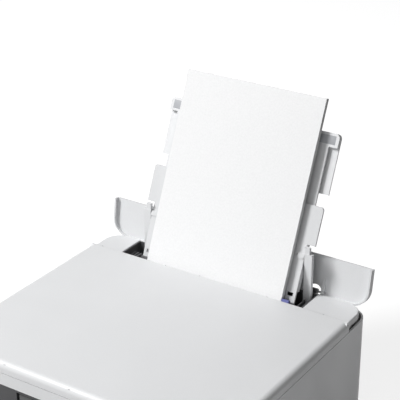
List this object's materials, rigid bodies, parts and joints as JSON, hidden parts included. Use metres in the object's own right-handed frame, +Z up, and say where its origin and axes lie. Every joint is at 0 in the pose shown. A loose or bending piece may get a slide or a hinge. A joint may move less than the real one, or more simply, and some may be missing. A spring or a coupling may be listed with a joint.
{
  "type": "inkjet printer",
  "caption": "Desktop inkjet printer with a flat hinged lid, an upright rear paper feed holding a stack of plain sheets on an extended support, and a front output slot.",
  "frame": {"origin": "middle of the overall box, on the table under the feet", "axes": "+X to the printer's right seen from its front, +Y towards its back, +Z up"},
  "size_m": [0.402, 0.4218, 0.417],
  "materials": {
    "shell": "fine satin moulded plastic, light grey",
    "base": "matt mid grey",
    "dark": "matt black",
    "gloss_black": "polished black",
    "glass": "dark display window",
    "button": "satin grey",
    "blue": "violet blue",
    "rubber": "matt black rubber",
    "paper": "plain white sheets",
    "steel": "zinc plated sheet and ground bar",
    "spur": "thin toothed discs on a bar",
    "gear": "natural acetal",
    "film": "clear film with fine marks",
    "head": "nozzle plate",
    "ink_k": "black cartridge",
    "ink_c": "cyan cartridge",
    "ink_m": "magenta cartridge",
    "ink_y": "yellow cartridge",
    "pad": "absorbent felt",
    "supply": "black moulded case and sockets",
    "board": "green circuit board",
    "port": "plated shell"
  },
  "bodies": {
    "housing": {"base_pan": "base", "rubber_feet": "rubber", "main_casing": "shell", "front_fascia": "dark", "top_deck": "base", "hinge_pins": "steel", "rear_bezel": "shell", "feed_well": "dark", "support_posts": "shell", "feed_chute": "dark", "side_frames": "steel", "rear_frame": "steel", "guide_shaft": "steel", "encoder_strip": "film", "drive_belt": "rubber", "carriage_motor": "steel", "feed_motor": "steel", "platen": "dark", "pinch_holder": "dark", "spur_holder": "dark", "cap_station": "dark", "waste_pad": "pad", "power_supply": "supply", "power_inlet": "supply", "main_board": "board", "usb_port": "port"},
    "lid": {"top_cover": "shell"},
    "hopper_cover": {"feed_cover": "shell"},
    "support": {"paper_support": "shell"},
    "extension": {"support_extension": "shell"},
    "paper": {"paper_stack": "paper"},
    "guide_left": {"paper_guide_left": "dark"},
    "guide_right": {"paper_guide_right": "blue"},
    "pickup": {"pickup_roller": "rubber"},
    "carriage": {"carriage": "dark", "print_head": "head", "ink_black": "ink_k", "ink_cyan": "ink_c", "ink_magenta": "ink_m", "ink_yellow": "ink_y"},
    "motor_pulley": {"motor_pulley": "gear"},
    "idler_pulley": {"idler_pulley": "gear"},
    "main_roller": {"main_roller": "steel", "main_gear": "gear"},
    "eject_roller": {"eject_roller": "spur", "eject_gear": "gear"},
    "transfer_gear": {"transfer_gear": "gear"},
    "motor_pinion": {"motor_pinion": "gear"},
    "pinch_rollers": {"pinch_rollers": "steel"},
    "spur_wheels": {"spur_wheels": "spur"},
    "cap_sled": {"cap_sled": "gear", "cap_seal": "rubber"},
    "panel": {"control_panel": "gloss_black", "screen": "glass"},
    "power_button": {"power_button": "button"},
    "stop_button": {"stop_button": "button"},
    "start_button": {"start_button": "button"},
    "output_tray": {"output_tray": "dark"},
    "tray_extension": {"tray_extension": "dark"}
  },
  "joints": [
    {"name": "lid_hinge", "type": "hinge", "parent": "housing", "child": "lid", "pos_m": [0, 0.09481, 0.1717], "axis": [-1, 0, 0], "range_deg": [0, 65]},
    {"name": "feed_cover_hinge", "type": "hinge", "parent": "housing", "child": "hopper_cover", "pos_m": [0, 0.15061, 0.1725], "axis": [1, 0, 0], "range_deg": [0, 10]},
    {"name": "support_tilt", "type": "hinge", "parent": "housing", "child": "support", "pos_m": [-0.005, 0.13511, 0.22661], "axis": [1, 0, 0], "range_deg": [0, 23]},
    {"name": "extension_slide", "type": "slide", "parent": "support", "child": "extension", "axis": [0, 0.3923, 0.9198], "range_m": [-0.07, 0]},
    {"name": "paper_lift", "type": "slide", "parent": "support", "child": "paper", "axis": [0, 0.3923, 0.9198], "range_m": [0, 0.3]},
    {"name": "guide_right_slide", "type": "slide", "parent": "housing", "child": "guide_right", "axis": [1, 0, 0], "range_m": [0, 0.0035]},
    {"name": "guide_left_slide", "type": "slide", "parent": "housing", "child": "guide_left", "axis": [-1, 0, 0], "range_m": [0, 0.0035]},
    {"name": "pickup_spin", "type": "hinge", "parent": "housing", "child": "pickup", "pos_m": [-0.005, 0.08274, 0.15709], "axis": [1, 0, 0], "continuous": true},
    {"name": "carriage_slide", "type": "slide", "parent": "housing", "child": "carriage", "axis": [1, 0, 0], "range_m": [-0.265, 0]},
    {"name": "motor_pulley_spin", "type": "hinge", "parent": "housing", "child": "motor_pulley", "pos_m": [-0.158, 0.00361, 0.134], "axis": [0, 1, 0], "continuous": true},
    {"name": "idler_pulley_spin", "type": "hinge", "parent": "housing", "child": "idler_pulley", "pos_m": [0.158, 0.00361, 0.134], "axis": [0, 1, 0], "continuous": true},
    {"name": "main_roller_spin", "type": "hinge", "parent": "housing", "child": "main_roller", "pos_m": [0, -0.01289, 0.081], "axis": [1, 0, 0], "continuous": true},
    {"name": "eject_roller_spin", "type": "hinge", "parent": "housing", "child": "eject_roller", "pos_m": [0, -0.07089, 0.081], "axis": [1, 0, 0], "continuous": true},
    {"name": "transfer_gear_spin", "type": "hinge", "parent": "housing", "child": "transfer_gear", "pos_m": [-0.186, -0.04189, 0.081], "axis": [1, 0, 0], "continuous": true},
    {"name": "motor_pinion_spin", "type": "hinge", "parent": "housing", "child": "motor_pinion", "pos_m": [-0.186, -0.01289, 0.055], "axis": [1, 0, 0], "continuous": true},
    {"name": "pinch_roller_spin", "type": "hinge", "parent": "housing", "child": "pinch_rollers", "pos_m": [0, -0.01289, 0.0899], "axis": [1, 0, 0], "continuous": true},
    {"name": "spur_wheel_spin", "type": "hinge", "parent": "housing", "child": "spur_wheels", "pos_m": [0, -0.07089, 0.091], "axis": [1, 0, 0], "continuous": true},
    {"name": "cap_slide", "type": "slide", "parent": "housing", "child": "cap_sled", "axis": [0, 0, 1], "range_m": [-0.004, 0]},
    {"name": "panel_tilt", "type": "hinge", "parent": "housing", "child": "panel", "pos_m": [0, -0.20239, 0.136], "axis": [-1, 0, 0], "range_deg": [0, 40]},
    {"name": "power_button_press", "type": "slide", "parent": "panel", "child": "power_button", "axis": [0, 1, 0], "range_m": [0, 0.0012], "stiffness_N_per_m": 300},
    {"name": "stop_button_press", "type": "slide", "parent": "panel", "child": "stop_button", "axis": [0, 1, 0], "range_m": [0, 0.0012], "stiffness_N_per_m": 300},
    {"name": "start_button_press", "type": "slide", "parent": "panel", "child": "start_button", "axis": [0, 1, 0], "range_m": [0, 0.0012], "stiffness_N_per_m": 300},
    {"name": "output_tray_slide", "type": "slide", "parent": "housing", "child": "output_tray", "axis": [0, -1, 0], "range_m": [0, 0.06]},
    {"name": "tray_extension_slide", "type": "slide", "parent": "output_tray", "child": "tray_extension", "axis": [0, -1, 0], "range_m": [0, 0.06]}
  ],
  "couplings": [
    {"joint": "guide_left_slide", "follows": "guide_right_slide", "ratio": 1},
    {"joint": "motor_pulley_spin", "follows": "carriage_slide", "rad_per_m": 153.85},
    {"joint": "idler_pulley_spin", "follows": "carriage_slide", "rad_per_m": 153.85},
    {"joint": "eject_roller_spin", "follows": "main_roller_spin", "ratio": 1},
    {"joint": "transfer_gear_spin", "follows": "main_roller_spin", "ratio": -2.2222},
    {"joint": "motor_pinion_spin", "follows": "main_roller_spin", "ratio": -3.3333},
    {"joint": "pinch_roller_spin", "follows": "main_roller_spin", "ratio": -1.4286},
    {"joint": "spur_wheel_spin", "follows": "main_roller_spin", "ratio": -1.087}
  ]
}
